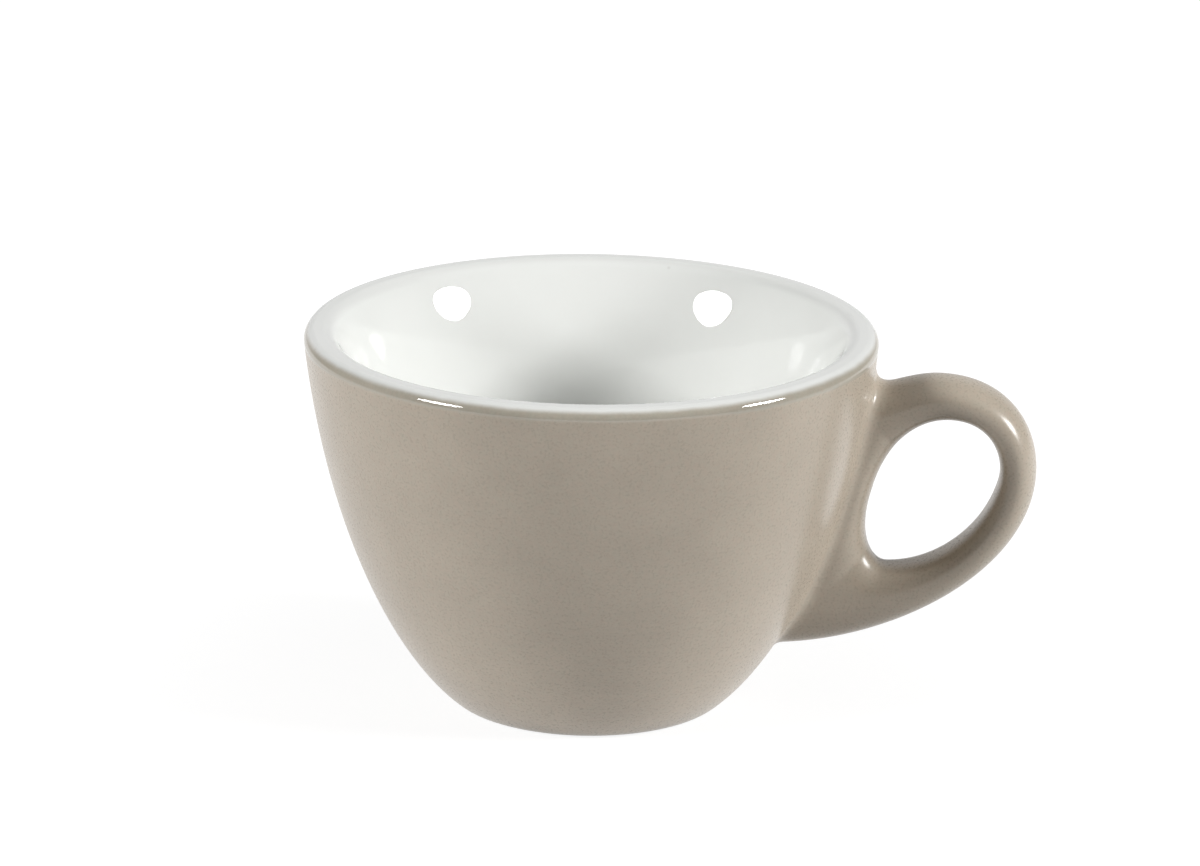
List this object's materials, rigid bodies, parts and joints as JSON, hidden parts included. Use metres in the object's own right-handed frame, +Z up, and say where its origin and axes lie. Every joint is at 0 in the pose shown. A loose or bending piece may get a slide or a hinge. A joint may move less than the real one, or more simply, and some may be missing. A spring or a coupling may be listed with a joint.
{
  "type": "espresso cup",
  "caption": "Low, wide porcelain espresso cup with a ring handle, glazed white inside and over the lip and taupe outside, standing on a bare foot ring.",
  "frame": {"origin": "on the bowl's axis, in the plane of the foot ring that the cup stands on", "axes": "+Z up along the bowl's axis, +X from the axis towards the handle"},
  "size_m": [0.0915, 0.0714, 0.048],
  "materials": {
    "porcelain": "bare, fired and polished",
    "slip": "bare, fired",
    "white_glaze": "gloss",
    "taupe_glaze": "satin"
  },
  "bodies": {
    "root": {"bowl": "porcelain", "handle": "porcelain", "slip_joint": "slip", "liner_glaze": "white_glaze", "outer_glaze": "taupe_glaze", "handle_glaze": "taupe_glaze", "base_glaze": "taupe_glaze"}
  },
  "joints": []
}
